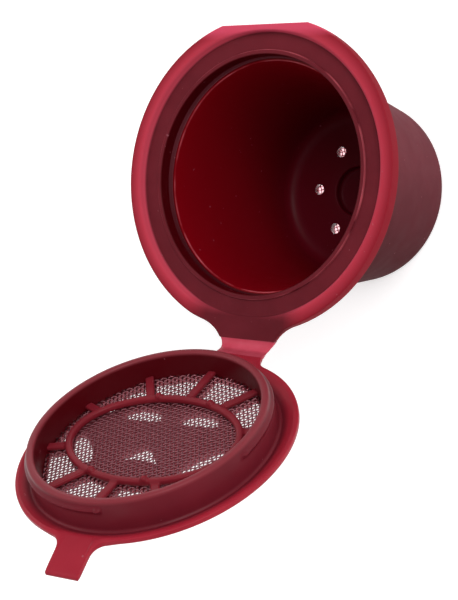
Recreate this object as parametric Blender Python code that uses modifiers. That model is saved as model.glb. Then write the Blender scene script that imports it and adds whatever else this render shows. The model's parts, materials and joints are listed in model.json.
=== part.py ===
"""Refillable single-serve coffee capsule: a moulded cup, a lid on a living hinge, and two woven steel filters.

Frame: metres, +Z up. The origin is the centre of the base's bottom plane, +Z is the cup's axis out of its mouth,
and the hinge is at +Y. The model is symmetric about the YZ plane. The lid stands open at its relaxed angle.
"""

import math

import bmesh
import bpy
from mathutils import Matrix, Vector

# ---------------------------------------------------------------- driving dimensions
CUP_HEIGHT = 0.0262  # bottom of the foot to the top of the flange
FLANGE_RADIUS = 0.0185
FLANGE_THICKNESS = 0.0016
FLAT_DISTANCE = 0.01735  # from the axis to the flat on the flange's front edge
SEAT_RADIUS = 0.0167  # recess in the flange that the lid drops into
SEAT_DEPTH = 0.00095
LIP_RADIUS = 0.01465  # low ring round the bore
LIP_HEIGHT = 0.0003
BORE_RADIUS = 0.0141
BORE_DEPTH = 0.0029  # below the flange's top
WALL_TOP_RADIUS = 0.0137
FLOOR_DEPTH = 0.0245  # below the flange's top
FLOOR_RADIUS = 0.0091
FLOOR_FILLET = 0.0015
FLOOR_THICKNESS = 0.0009
BODY_TOP_RADIUS = 0.0151
BODY_FOOT_RADIUS = 0.0121
FOOT_ROUND = 0.0019
FOOT_INNER_RADIUS = 0.0096
BOSS_RADIUS = 0.0045
WELL_RADIUS = 0.0032
WELL_FLOOR = 0.0006  # height of the well's floor over the base plane
DRAIN_COUNT = 6
DRAIN_CIRCLE = 0.0059
DRAIN_RADIUS = 0.00068

LID_RADIUS = 0.0160
LID_THICKNESS = 0.0007
LID_GAP = 0.0003  # closed lid over its seat
LID_OPEN_DEG = 122.9
PLUG_RADIUS = 0.0135
PLUG_INNER_RADIUS = 0.0126
PLUG_HEIGHT = 0.0025
GRID_HIGH = 0.0002  # outer side of the lid's grid, over the disc's plug side, closed
GRID_LOW = -0.00035  # plug side of the grid
SPOKE_COUNT = 10
SPOKE_WIDTH = 0.0008
RIB_HALF_X = 0.0106  # middle line of the oval rib
RIB_HALF_Y = 0.0076
RIB_WIDTH = 0.0008
RIB_HEIGHT = 0.0007
RETAINER_RIM_WIDTH = 0.0005
RETAINER_RIM_HEIGHT = 0.0005
WINDOW_OUTER_RADIUS = 0.0119
HINGE_HALF_WIDTH = 0.0031
HINGE_FILLET = 0.0050  # on the cup's side
LID_LEAF_FILLET = 0.0022
HINGE_Y = 0.0193
HINGE_DROP = 0.0012  # hinge axis below the flange's top
BEND_TANGENT = 0.0011  # leaf end to the crossing of the two leaves' middle planes
FILM_THICKNESS = 0.00035
TAB_LENGTH = 0.0042
TAB_HALF_WIDTH = 0.0020
TAB_LIFT_DEG = 22.0
TAB_THICKNESS = 0.0006
TAB_FILLET = 0.0020
MESH_THICKNESS = 0.0001
CLEARANCE = 0.0003  # between touching pieces
MESH_CLEARANCE = 0.00015  # either side of the lid's thin filter

TURN_STEPS = 72
MERGE_DISTANCE = 0.00001

# ---------------------------------------------------------------- derived places
FLANGE_TOP = CUP_HEIGHT
FLANGE_UNDER = CUP_HEIGHT - FLANGE_THICKNESS
SEAT_Z = CUP_HEIGHT - SEAT_DEPTH
FLOOR_Z = CUP_HEIGHT - FLOOR_DEPTH
HINGE_Z = CUP_HEIGHT - HINGE_DROP
LID_FACE_CLOSED = SEAT_Z + LID_GAP  # plug side of the closed lid's disc
LID_FACE_OVER_HINGE = LID_FACE_CLOSED - HINGE_Z
LEAF_UNDER = 0.0001  # lid leaf's plug side, over the disc's plug side

bpy.context.view_layer.update()
for old in list(bpy.data.objects):
    bpy.data.objects.remove(old, do_unlink=True)

parts = bpy.data.collections.new("refillable_coffee_capsule")
cutters = bpy.data.collections.new("cutters")
bpy.context.scene.collection.children.link(parts)
bpy.context.scene.collection.children.link(cutters)


# ---------------------------------------------------------------- materials
def plastic(name, colour, roughness):
    material = bpy.data.materials.new(name)
    material.use_nodes = True
    shader = material.node_tree.nodes["Principled BSDF"]
    shader.inputs["Base Color"].default_value = (*colour, 1.0)
    shader.inputs["Roughness"].default_value = roughness
    return material


def steel(name, colour, roughness):
    material = plastic(name, colour, roughness)
    material.node_tree.nodes["Principled BSDF"].inputs["Metallic"].default_value = 1.0
    return material


CUP_PLASTIC = plastic("cup_plastic", (0.26, 0.012, 0.030), 0.42)
LID_PLASTIC = plastic("lid_plastic", (0.34, 0.016, 0.038), 0.42)
HINGE_PLASTIC = plastic("hinge_plastic", (0.50, 0.035, 0.070), 0.40)
RETAINER_PLASTIC = plastic("retainer_plastic", (0.30, 0.014, 0.034), 0.45)
FILTER_STEEL = steel("filter_steel", (0.62, 0.61, 0.60), 0.35)


# ---------------------------------------------------------------- modelling helpers
def place(obj, collection, parent=None, material=None):
    collection.objects.link(obj)
    if parent is not None:
        obj.parent = parent
    if material is not None:
        obj.data.materials.clear()
        obj.data.materials.append(material)
    if collection is cutters:
        obj.hide_render = True
        obj.display_type = "WIRE"
    return obj


def turned(name, profile, closed=False, steps=TURN_STEPS):
    """A profile of (radius, height) points turned about Z; the outer side runs from top to bottom."""
    mesh = bpy.data.meshes.new(name)
    edges = [(i, i + 1) for i in range(len(profile) - 1)]
    if closed:
        edges.append((len(profile) - 1, 0))
    mesh.from_pydata([(r, 0.0, z) for r, z in profile], edges, [])
    obj = bpy.data.objects.new(name, mesh)
    screw = obj.modifiers.new("Screw", "SCREW")
    screw.steps = steps
    screw.render_steps = steps
    screw.use_merge_vertices = True
    screw.merge_threshold = MERGE_DISTANCE
    screw.use_smooth_shade = True
    return obj


def plate(name, outlines, low, high):
    """Flat outlines in XY, extruded from height low to height high, as one closed mesh."""
    curve = bpy.data.curves.new(name, "CURVE")
    curve.dimensions = "2D"
    curve.fill_mode = "BOTH"
    curve.extrude = (high - low) / 2
    for outline in outlines:
        spline = curve.splines.new("POLY")
        spline.points.add(len(outline) - 1)
        for point, (x, y) in zip(spline.points, outline):
            point.co = (x, y, 0.0, 1.0)
        spline.use_cyclic_u = True
    guide = bpy.data.objects.new(name + "_outline", curve)
    bpy.context.scene.collection.objects.link(guide)
    guide.location = (0.0, 0.0, (low + high) / 2)
    bpy.context.view_layer.update()
    evaluated = guide.evaluated_get(bpy.context.evaluated_depsgraph_get())
    mesh = bpy.data.meshes.new_from_object(evaluated)
    mesh.transform(guide.matrix_world)
    bpy.data.objects.remove(guide, do_unlink=True)
    welded = bmesh.new()
    welded.from_mesh(mesh)
    bmesh.ops.remove_doubles(welded, verts=welded.verts, dist=MERGE_DISTANCE)
    bmesh.ops.recalc_face_normals(welded, faces=welded.faces)
    welded.to_mesh(mesh)
    welded.free()
    mesh.name = name
    return bpy.data.objects.new(name, mesh)


def solids(name, matrices, build):
    """Several separate primitives in one mesh; build(bm, matrix) adds each of them."""
    shape = bmesh.new()
    for matrix in matrices:
        build(shape, matrix)
    mesh = bpy.data.meshes.new(name)
    shape.to_mesh(mesh)
    shape.free()
    return bpy.data.objects.new(name, mesh)


def boolean(obj, other, operation):
    modifier = obj.modifiers.new(operation.title(), "BOOLEAN")
    modifier.operation = operation
    modifier.object = other
    modifier.solver = "EXACT"


def arc(centre, radius, start, end, count):
    """Points on an arc, angles in degrees, both ends included."""
    return [
        (
            centre[0] + radius * math.cos(math.radians(start + (end - start) * i / count)),
            centre[1] + radius * math.sin(math.radians(start + (end - start) * i / count)),
        )
        for i in range(count + 1)
    ]


def neck_outline(disc_radius, end_y, root_y, half_width=HINGE_HALF_WIDTH, fillet=HINGE_FILLET):
    """A strap that leaves a disc at +Y: its sides are arcs tangent to the disc and to the strap's half width."""
    centre_x = half_width + fillet
    centre_y = math.sqrt((disc_radius + fillet) ** 2 - centre_x**2)
    from_disc = 180 + math.degrees(math.atan2(centre_y, centre_x))
    to_end = 180 if end_y >= centre_y else 180 + math.degrees(math.asin((centre_y - end_y) / fillet))
    side = arc((centre_x, centre_y), fillet, from_disc, to_end, 8)
    if end_y > centre_y:
        side.append((half_width, end_y))
    inner_x = side[0][0] * root_y / side[0][1]
    right = [(inner_x, root_y)] + side
    left = [(-x, y) for x, y in reversed(right)]
    return right + left


def oval_radius(degrees, half_x, half_y):
    angle = math.radians(degrees)
    return 1 / math.hypot(math.cos(angle) / half_x, math.sin(angle) / half_y)


def window(middle, half_angle):
    """Outline of a window between the oval rib and the outer radius, angles in degrees."""
    low, high = middle - half_angle, middle + half_angle
    outer = arc((0, 0), WINDOW_OUTER_RADIUS, low, high, 5)
    inner = []
    for i in range(5):
        degrees = high + (low - high) * i / 4
        radius = oval_radius(degrees, RIB_HALF_X + RIB_WIDTH / 2, RIB_HALF_Y + RIB_WIDTH / 2)
        inner.append((radius * math.cos(math.radians(degrees)), radius * math.sin(math.radians(degrees))))
    return outer + inner


def ellipse(x, y, half_x, half_y, turn, count=20):
    points = []
    for i in range(count):
        angle = 2 * math.pi * i / count
        u, v = half_x * math.cos(angle), half_y * math.sin(angle)
        c, s = math.cos(math.radians(turn)), math.sin(math.radians(turn))
        points.append((x + u * c - v * s, y + u * s + v * c))
    return points


# ---------------------------------------------------------------- cup
def cup_profile():
    top = FLANGE_TOP
    seat_lip = SEAT_Z + LIP_HEIGHT
    profile = [(0.0, WELL_FLOOR), (WELL_RADIUS - 0.0003, WELL_FLOOR), (WELL_RADIUS, WELL_FLOOR + 0.0003)]
    profile += [(WELL_RADIUS, FLOOR_Z - 0.0001), (WELL_RADIUS + 0.0001, FLOOR_Z), (FLOOR_RADIUS, FLOOR_Z)]
    profile += arc((FLOOR_RADIUS, FLOOR_Z + FLOOR_FILLET), FLOOR_FILLET, -72, -8, 4)
    profile += [(WALL_TOP_RADIUS, top - BORE_DEPTH - 0.0001), (WALL_TOP_RADIUS + 0.0001, top - BORE_DEPTH)]
    profile += [(BORE_RADIUS, top - BORE_DEPTH), (BORE_RADIUS, seat_lip - 0.0002), (BORE_RADIUS + 0.0002, seat_lip)]
    profile += [(LIP_RADIUS - 0.0001, seat_lip), (LIP_RADIUS, SEAT_Z), (SEAT_RADIUS, SEAT_Z)]
    profile += [(SEAT_RADIUS + 0.0003, top - 0.0002), (SEAT_RADIUS + 0.0006, top)]
    profile += [(FLANGE_RADIUS - 0.0003, top), (FLANGE_RADIUS, top - 0.0003)]
    profile += [(FLANGE_RADIUS, FLANGE_UNDER + 0.0003), (FLANGE_RADIUS - 0.0003, FLANGE_UNDER)]
    profile += [(BODY_TOP_RADIUS + 0.0003, FLANGE_UNDER), (BODY_TOP_RADIUS, FLANGE_UNDER - 0.0003)]
    profile += arc((BODY_FOOT_RADIUS - FOOT_ROUND, FOOT_ROUND), FOOT_ROUND, 8, -90, 6)
    channel_top = FLOOR_Z - FLOOR_THICKNESS
    profile += [(FOOT_INNER_RADIUS, 0.0), (FOOT_INNER_RADIUS - 0.0002, channel_top)]
    profile += [(BOSS_RADIUS + 0.0002, channel_top), (BOSS_RADIUS, 0.0), (0.0, 0.0)]
    return profile


def make_cup():
    cup = place(turned("cup_body", cup_profile()), parts, material=CUP_PLASTIC)

    leaf_end = leaf_corner_y() - BEND_TANGENT - CLEARANCE
    leaf = plate(
        "cup_leaf_tool",
        [neck_outline(FLANGE_RADIUS, leaf_end, SEAT_RADIUS - 0.0009)],
        FLANGE_UNDER + 0.00002,
        SEAT_Z - 0.00002,
    )
    boolean(cup, place(leaf, cutters), "UNION")

    channel_root, channel_end = SEAT_RADIUS - 0.0018, FLANGE_RADIUS + 0.0010
    channel = [
        (0.0066, channel_root),
        (0.0046, FLANGE_RADIUS - 0.0006),
        (0.0044, channel_end),
        (-0.0044, channel_end),
        (-0.0046, FLANGE_RADIUS - 0.0006),
        (-0.0066, channel_root),
    ]
    cutter = plate("hinge_channel_cutter", [channel], SEAT_Z + 0.00001, FLANGE_TOP + 0.001)
    boolean(cup, place(cutter, cutters), "DIFFERENCE")

    flat = [(-0.012, -0.021), (0.012, -0.021), (0.012, -FLAT_DISTANCE), (-0.012, -FLAT_DISTANCE)]
    cutter = plate("front_flat_cutter", [flat], FLANGE_UNDER - 0.001, FLANGE_TOP + 0.001)
    boolean(cup, place(cutter, cutters), "DIFFERENCE")

    places = []
    for i in range(DRAIN_COUNT):
        angle = 2 * math.pi * i / DRAIN_COUNT
        places.append(
            Matrix.Translation((DRAIN_CIRCLE * math.cos(angle), DRAIN_CIRCLE * math.sin(angle), FLOOR_Z - 0.0006))
        )

    def hole(shape, matrix):
        bmesh.ops.create_cone(
            shape, cap_ends=True, segments=16, radius1=DRAIN_RADIUS, radius2=DRAIN_RADIUS, depth=0.003, matrix=matrix
        )

    boolean(cup, place(solids("drain_cutter", places, hole), cutters), "DIFFERENCE")
    return cup


def make_base_mesh():
    """Woven steel ring that covers the drain holes from below, in the foot's channel."""
    high = FLOOR_Z - FLOOR_THICKNESS - CLEARANCE
    low = high - MESH_THICKNESS
    inner, outer = BOSS_RADIUS + 0.0002 + CLEARANCE, FOOT_INNER_RADIUS - 0.0002 - CLEARANCE
    ring = [(inner, high), (outer, high), (outer, low), (inner, low)]
    return place(turned("base_mesh", ring, closed=True, steps=48), parts, material=FILTER_STEEL)


# ---------------------------------------------------------------- hinge
def open_angle():
    return math.radians(180.0 - LID_OPEN_DEG)  # rise of the open lid over the horizontal


def lid_direction():
    return Vector((0.0, math.cos(open_angle()), math.sin(open_angle())))


def lid_outward():
    return Vector((0.0, math.sin(open_angle()), -math.cos(open_angle())))


def leaf_middle_z():
    return (FLANGE_UNDER + SEAT_Z) / 2


def lid_leaf_offset():
    """Lid leaf's middle plane from the hinge axis, outwards."""
    return LID_FACE_OVER_HINGE + (LEAF_UNDER + LID_THICKNESS) / 2


def leaf_corner_s():
    """Distance along the lid from the hinge axis to where both leaves' middle planes cross."""
    start_z = HINGE_Z + lid_outward().z * lid_leaf_offset()
    return (leaf_middle_z() - start_z) / lid_direction().z


def leaf_corner_y():
    return HINGE_Y + lid_outward().y * lid_leaf_offset() + lid_direction().y * leaf_corner_s()


def make_hinge_web():
    """The living hinge: a strip bent between the two leaves, thinned half way."""
    turn = open_angle()
    radius = BEND_TANGENT / math.tan(turn / 2)
    centre = Vector((leaf_corner_y() - BEND_TANGENT, leaf_middle_z() + radius))
    thick = (SEAT_Z - FLANGE_UNDER) * 0.9
    count = 10
    outer, inner = [], []
    for i in range(count + 1):
        share = i / count
        half = (FILM_THICKNESS + (thick - FILM_THICKNESS) * abs(2 * share - 1) ** 1.5) / 2
        angle = -math.pi / 2 + turn * share
        direction = Vector((math.cos(angle), math.sin(angle)))
        outer.append(centre + direction * (radius + half))
        inner.append(centre + direction * (radius - half))
    outline = [tuple(p) for p in outer + inner[::-1]]
    web = plate("hinge_web", [outline], -HINGE_HALF_WIDTH, HINGE_HALF_WIDTH)
    # the outline's X and Y are the world's Y and Z
    web.data.transform(Matrix(((0, 0, 1, 0), (1, 0, 0, 0), (0, 1, 0, 0), (0, 0, 0, 1))))
    return place(web, parts, material=HINGE_PLASTIC)


# ---------------------------------------------------------------- lid, modelled closed about the hinge axis
def lid_frame(obj):
    """Moves a lid piece's mesh so that its origin, the disc's centre on the plug side, suits the pivot."""
    obj.data.transform(Matrix.Translation((0.0, -HINGE_Y, LID_FACE_OVER_HINGE)))
    return obj


def lid_turned(name, profile, closed=False, steps=TURN_STEPS):
    """A turned lid piece as a mesh, because its axis isn't the object's own Z axis."""
    guide = turned(name + "_guide", profile, closed, steps)
    bpy.context.scene.collection.objects.link(guide)
    bpy.context.view_layer.update()
    mesh = bpy.data.meshes.new_from_object(guide.evaluated_get(bpy.context.evaluated_depsgraph_get()))
    bpy.data.objects.remove(guide, do_unlink=True)
    mesh.name = name
    return lid_frame(bpy.data.objects.new(name, mesh))


def lid_profile():
    edge = 0.0002
    profile = [(0.0, GRID_HIGH), (PLUG_INNER_RADIUS, GRID_HIGH), (PLUG_INNER_RADIUS + 0.0002, LID_THICKNESS)]
    profile += [(LID_RADIUS - edge, LID_THICKNESS), (LID_RADIUS, LID_THICKNESS - edge)]
    profile += [(LID_RADIUS, edge), (LID_RADIUS - edge, 0.0), (PLUG_RADIUS + 0.0002, 0.0)]
    profile += [(PLUG_RADIUS, -0.0002), (PLUG_RADIUS, -PLUG_HEIGHT + 0.0004)]
    middle = (PLUG_RADIUS + PLUG_INNER_RADIUS) / 2
    profile += [(middle + 0.00025, -PLUG_HEIGHT), (middle - 0.00025, -PLUG_HEIGHT)]
    profile += [(PLUG_INNER_RADIUS, -PLUG_HEIGHT + 0.0004), (PLUG_INNER_RADIUS, GRID_LOW), (0.0, GRID_LOW)]
    return profile


def window_angles():
    return [360 / SPOKE_COUNT * (i + 0.5) + 90 for i in range(SPOKE_COUNT)]


def centre_holes():
    """Two petals on the hinge's side, one in the middle and two on the tab's side."""
    holes = [ellipse(0.0, -0.0026, 0.0021, 0.0013, 0)]
    for side in (-1, 1):
        holes.append(ellipse(side * 0.0039, 0.0042, 0.0027, 0.0012, 0))
        holes.append(ellipse(side * 0.0074, -0.0026, 0.0030, 0.0011, side * 45))
    return holes


def make_lid_shell(pivot):
    shell = place(lid_turned("lid_shell", lid_profile()), parts, pivot, LID_PLASTIC)

    leaf_end = HINGE_Y - leaf_corner_s() - BEND_TANGENT - CLEARANCE
    outline = neck_outline(LID_RADIUS, leaf_end, LID_RADIUS - 0.0020, fillet=LID_LEAF_FILLET)
    leaf = plate("lid_leaf_tool", [outline], LEAF_UNDER, LID_THICKNESS - 0.00002)
    boolean(shell, place(lid_frame(leaf), cutters, pivot), "UNION")

    # the tab rises outwards from the disc's front edge
    root = LID_RADIUS - 0.0010
    rise = math.radians(TAB_LIFT_DEG)
    tip = root + 0.0010 + TAB_LENGTH * math.cos(rise)
    flare = TAB_HALF_WIDTH + TAB_FILLET
    outline = [(flare, -root), (TAB_HALF_WIDTH + 0.0006, -root - 0.0012), (TAB_HALF_WIDTH, -root - 0.0024)]
    outline += [(TAB_HALF_WIDTH, -tip + 0.0004), (TAB_HALF_WIDTH - 0.0004, -tip)]
    outline += [(-x, y) for x, y in reversed(outline)]
    tab = plate("tab_tool", [outline], LID_THICKNESS - TAB_THICKNESS, LID_THICKNESS - 0.00003)
    for vertex in tab.data.vertices:
        vertex.co.z += max(0.0, -vertex.co.y - root) * math.tan(rise) * 0.9
    boolean(shell, place(lid_frame(tab), cutters, pivot), "UNION")

    half_angle = 180 / SPOKE_COUNT - math.degrees(SPOKE_WIDTH / 2 / 0.010)
    windows = [window(middle, half_angle) for middle in window_angles()]
    cutter = plate("window_cutter", windows + centre_holes(), GRID_LOW - 0.0005, LID_THICKNESS + 0.001)
    boolean(shell, place(lid_frame(cutter), cutters, pivot), "DIFFERENCE")
    return shell


def make_lid_mesh(pivot):
    """Woven steel disc between the lid's grid and the retainer."""
    high = GRID_LOW - MESH_CLEARANCE
    low = high - MESH_THICKNESS
    radius = PLUG_INNER_RADIUS - CLEARANCE
    profile = [(0.0, high), (radius, high), (radius, low), (0.0, low)]
    return place(lid_turned("lid_mesh", profile, steps=48), parts, pivot, FILTER_STEEL)


def oval(offset, count=48):
    points = []
    for i in range(count):
        angle = 2 * math.pi * i / count
        points.append(((RIB_HALF_X + offset) * math.cos(angle), (RIB_HALF_Y + offset) * math.sin(angle)))
    return points


def make_retainer(pivot):
    """Rim, spokes and oval rib that hold the lid's filter, with the heads of its stakes."""
    high = GRID_LOW - 2 * MESH_CLEARANCE - MESH_THICKNESS
    rim_outer = PLUG_INNER_RADIUS - CLEARANCE
    rim_inner = rim_outer - RETAINER_RIM_WIDTH
    rim_low, rib_low = high - RETAINER_RIM_HEIGHT, high - RIB_HEIGHT
    rim = [(rim_inner, high), (rim_outer, high), (rim_outer, rim_low), (rim_inner, rim_low)]
    retainer = place(lid_turned("mesh_retainer", rim, closed=True), parts, pivot, RETAINER_PLASTIC)

    rib = plate("rib_tool", [oval(RIB_WIDTH / 2), oval(-RIB_WIDTH / 2)], rib_low, high)
    rib_tool = place(lid_frame(rib), cutters, pivot)

    spoke_height = RETAINER_RIM_HEIGHT - 0.0001
    middle_z = high - 0.00005 - spoke_height / 2
    places = []
    for i in range(SPOKE_COUNT):
        degrees = 360 / SPOKE_COUNT * i + 90
        reach_in = oval_radius(degrees, RIB_HALF_X, RIB_HALF_Y)
        reach_out = rim_inner + 0.0002
        size = Matrix.Diagonal((reach_out - reach_in, SPOKE_WIDTH, spoke_height, 1.0))
        turn = Matrix.Rotation(math.radians(degrees), 4, "Z")
        places.append(turn @ Matrix.Translation(((reach_in + reach_out) / 2, 0.0, middle_z)) @ size)

    def bar(shape, matrix):
        bmesh.ops.create_cube(shape, size=1.0, matrix=matrix)

    spokes = place(lid_frame(solids("spoke_tool", places, bar)), cutters, pivot)
    boolean(rib_tool, spokes, "UNION")

    def stake(shape, matrix):
        bmesh.ops.create_cone(
            shape, cap_ends=True, segments=12, radius1=0.00036, radius2=0.00036, depth=0.0006, matrix=matrix
        )

    heads = []
    for degrees in (65, 115, 245, 295):
        radius = oval_radius(degrees, RIB_HALF_X, RIB_HALF_Y)
        turn = Matrix.Rotation(math.radians(degrees), 4, "Z")
        heads.append(turn @ Matrix.Translation((radius, 0.0, rib_low)))
    stakes = place(lid_frame(solids("stake_tool", heads, stake)), cutters, pivot)
    boolean(rib_tool, stakes, "UNION")
    boolean(retainer, rib_tool, "UNION")
    return retainer


def build():
    make_cup()
    make_base_mesh()
    make_hinge_web()
    pivot = bpy.data.objects.new("lid_pivot", None)
    parts.objects.link(pivot)
    pivot.location = (0.0, HINGE_Y, HINGE_Z)
    pivot.rotation_euler = (-math.radians(LID_OPEN_DEG), 0.0, 0.0)
    make_lid_shell(pivot)
    make_lid_mesh(pivot)
    make_retainer(pivot)
    bpy.context.view_layer.update()


build()
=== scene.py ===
"""The looks of the refillable coffee capsule: satin red plastic, woven steel filters and a bending hinge.

Lengths inside the helpers are in millimetres; MM turns them into the frame's metres.
"""

import json
import math

import bmesh
import bpy
from mathutils import Matrix, Vector


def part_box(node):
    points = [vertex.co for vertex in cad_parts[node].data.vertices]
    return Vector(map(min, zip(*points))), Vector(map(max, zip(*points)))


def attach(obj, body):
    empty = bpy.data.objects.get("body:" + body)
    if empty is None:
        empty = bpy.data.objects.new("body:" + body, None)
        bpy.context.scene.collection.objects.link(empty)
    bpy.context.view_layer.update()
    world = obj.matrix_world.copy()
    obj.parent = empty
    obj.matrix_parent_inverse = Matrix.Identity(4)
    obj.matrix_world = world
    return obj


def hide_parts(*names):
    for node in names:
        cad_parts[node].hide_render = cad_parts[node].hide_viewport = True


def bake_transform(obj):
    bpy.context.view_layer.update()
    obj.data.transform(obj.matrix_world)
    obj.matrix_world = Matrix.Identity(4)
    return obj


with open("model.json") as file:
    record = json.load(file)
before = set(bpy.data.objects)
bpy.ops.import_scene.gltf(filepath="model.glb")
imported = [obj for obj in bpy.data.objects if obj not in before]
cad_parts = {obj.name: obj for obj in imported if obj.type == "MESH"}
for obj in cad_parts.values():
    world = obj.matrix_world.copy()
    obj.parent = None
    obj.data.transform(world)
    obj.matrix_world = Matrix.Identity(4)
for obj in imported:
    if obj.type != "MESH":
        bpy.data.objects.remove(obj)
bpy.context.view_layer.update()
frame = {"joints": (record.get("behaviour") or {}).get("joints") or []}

# ---------------------------------------------------------------- sizes, in millimetres and degrees
MM = 0.001  # one millimetre in the frame's metres
HINGE = next(joint for joint in frame["joints"] if joint["name"] == "lid_hinge")
HINGE_AT = Vector(HINGE["pos_m"])  # metres
OPEN_DEG = -HINGE["range_deg"][0]
CUP_LOW, CUP_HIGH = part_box("cup_body")  # metres

# cup: each DROP is a depth below the flange's top
TOP = CUP_HIGH.z / MM
FLANGE_R = CUP_HIGH.x / MM
FLANGE_T = 1.6
FLAT_AT = -CUP_LOW.y / MM + 0.15  # the flat at the flange's front
SEAT_R = 16.6
SEAT_DROP = 0.95
LIP_R = 14.65
LIP_DROP = 0.67
BORE_R = 14.1
BORE_DROP = 2.9
WALL_TOP_R = 13.7
FLOOR_DROP = 24.5
FLOOR_CORNER_R = 10.55
FLOOR_T = 0.9
BODY_TOP_R = 14.88
BODY_FOOT_R = 11.72
FOOT_IN_R = 9.5
BOSS_R = 4.5
WELL_R = 3.2
WELL_FLOOR = 0.6
DRAINS = 6
DRAIN_CIRCLE = 5.9
DRAIN_R = 0.68
DRAIN_CUT = 3.0

# lid: heights are over the plug side of the disc's edge
LID_R = 15.92
LID_T = 0.7
LID_EDGE_T = 0.55
DISH = 0.75  # how far the disc is dished outward inside its edge
CROWN_R = 14.2  # end of the level part on the outer side
SLOPE_R = 15.4  # end of the slope from there towards the edge
FACE_IN_R = 15.5  # inner edge of the level face on the plug side
STRETCH_R = 15.0  # outside this the edge is drawn out to the leaf and the tab
PLUG_R = 13.68
PLUG_IN_R = 12.6
PLUG_H = 2.90
PLUG_TAPER = 0.13  # how much narrower the plug is at its crest
ROOT_R = 14.0  # plug where it meets the dished disc
BEAD = 0.28
BEAD_FROM_CREST = 1.00
BEAD_SPREAD = 0.25
BEAD_ENDS = (196, 262)  # the bead is missing between these angles
LUG = 0.13
LUGS = ((84, 87, 99.5, 101), (262, 263, 265, 266), (192, 193, 195, 196))  # rise from, to, fall from, to
DISC_SHIFT = 0.3
GRID_OUTER = 0.95
GRID_INNER = 0.40
GRID_BEVEL = 0.10

# hinge, its two leaves and the pull tab
LID_FACE_OVER_HINGE = 0.55
NECK_HALF = 3.1
NECK_SHIFT = -0.35
NECK_FILLET = 5.0
CUP_LEAF_END = 19.35
LEAF_HALF = 3.3
LEAF_FILLET = 2.2
LID_LEAF_END = 17.0
STRAP_OVERLAP = 0.15
BEND_REACH = 0.75
LID_LEAF_T = 0.5
FILM_T = 0.34
FILM_SINK = 0.10
FILM_AT = 0.45  # as a share of the strap's length
TAB_HALF = 2.05
TAB_FILLET = 1.6
TAB_END = 19.5
TAB_TURN = 5.6
TAB_LIFT_FROM = 15.0
TAB_LIFT = 0.34  # rise for each millimetre further out

# openings and retainer
RIB_X, RIB_Y = 10.6, 7.1
RIB_W = 0.85
RIB_COVER = 0.35  # from the rib's middle line to the windows
SPOKES = 10
SPOKE_STEP = 360 / SPOKES
SPOKE_W = 1.0
SPOKE_SHARE = 0.62  # of the rib's height
SPOKE_SET = 0.17  # how far a spoke's middle is over the rib's, as a share of its height
RETAINER_TOP = 0.30  # below the grid's inner side
RETAINER_LOW = 1.10
STAKES = (62, 118, 242, 298)
STAKE_R = 0.46
WINDOW_OUTER_R = 12.3
WINDOW_GAP = 0.56  # from a spoke's middle line to a window
PATTERN_TURN = 2.0  # windows, rib and spokes
PETAL_TURN = 5.0
PETAL_SHIFT = 0.45

# woven filters
MESH_PITCH = 0.46
MESH_WIRE_R = 0.088
MESH_TURN = 55.0
BASE_MESH_TURN = 17.0

# steps round a turned shape: coarse, and fine to either side of its leaf, tab or flat
COARSE_DEG = 1.5
FINE_DEG = 0.3
FINE_HALF_DEG = 24

# studio, in metres, watts and degrees
WORLD_STRENGTH = 0.56
LIGHTS = (
    ("key_softbox", (-0.35, -0.25, 0.50), 0.35, 2.4),
    ("fill_softbox", (0.40, -0.10, 0.40), 0.35, 0.6),
    ("back_softbox", (0.05, 0.50, 0.35), 0.30, 0.25),
)
LIGHTS_AIM = (0, 0.008, 0.025)
BASE_GLOW_SIZE = 0.0176
BASE_GLOW_POWER = 0.006
BASE_GLOW_HEIGHT = 0.0003
CAMERA_LENS = 78.4
CAMERA_AT = (-0.08790, 0.00883, 0.15150)
CAMERA_TURN_DEG = (0.899, 35.680, -174.593)

# colours, linear
# rim colours: a painted glow of light through the thin flange, with a painted highlight at its inner edge
RIM_GLOW_INNER = (0.54, 0.062, 0.100)
RIM_GLOW_MIDDLE = (0.43, 0.034, 0.058)
RIM_GLOW_OUTER = (0.23, 0.010, 0.020)
RIM_GLOW_FLAT = (0.58, 0.060, 0.112)
SEAT_DARK = (0.106, 0.010, 0.016)
SEAT_LIGHT = (0.140, 0.014, 0.022)
# inside colours: painted shade, darker towards the cup's floor
INSIDE_LOW = (0.092, 0.0020, 0.0090)
INSIDE_MIDDLE = (0.115, 0.0005, 0.0036)
INSIDE_HIGH = (0.190, 0.0004, 0.0044)
# outside colours: mottled wine with a grey painted reflection; the third is painted shade
OUTSIDE_WINE_SHEEN_DARK = (0.118, 0.023, 0.031)
OUTSIDE_WINE_SHEEN_LIGHT = (0.142, 0.028, 0.038)
OUTSIDE_PAINTED_SHADE = (0.055, 0.004, 0.007)
# painted shade on the bore's wall
BORE_PAINTED_SHADE = (0.060, 0.0005, 0.0025)
# disc colours: a painted glow of light through the thin disc, between two random tones
DISC_GLOW_DARK = (0.29, 0.012, 0.026)
DISC_GLOW_LIGHT = (0.34, 0.018, 0.034)
PLUG_DARK = (0.115, 0.008, 0.015)
PLUG_LIGHT = (0.150, 0.011, 0.020)
# painted shade on the plug ring's inside
PLUG_INSIDE_SHADE = (0.075, 0.0015, 0.0040)
# painted highlight on the plug's crest
PLUG_CREST_HIGHLIGHT = (0.200, 0.026, 0.036)
GRID_DARK = (0.32, 0.017, 0.036)
GRID_LIGHT = (0.38, 0.022, 0.044)
RETAINER_DARK = (0.165, 0.010, 0.018)
RETAINER_LIGHT = (0.200, 0.013, 0.022)
# painted highlight lines on the lip and the ledge
PAINTED_EDGE_HIGHLIGHT = (0.60, 0.120, 0.150)
FLECK = (0.40, 0.14, 0.17)
HINGE_CUP = (0.160, 0.009, 0.015)
# painted highlight and glow across the hinge's thin film
HINGE_FILM_HIGHLIGHT = (0.46, 0.032, 0.060)
HINGE_LID = (0.28, 0.012, 0.024)
HINGE_CLOUD = (0.9, 0.2, 0.3)
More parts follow.
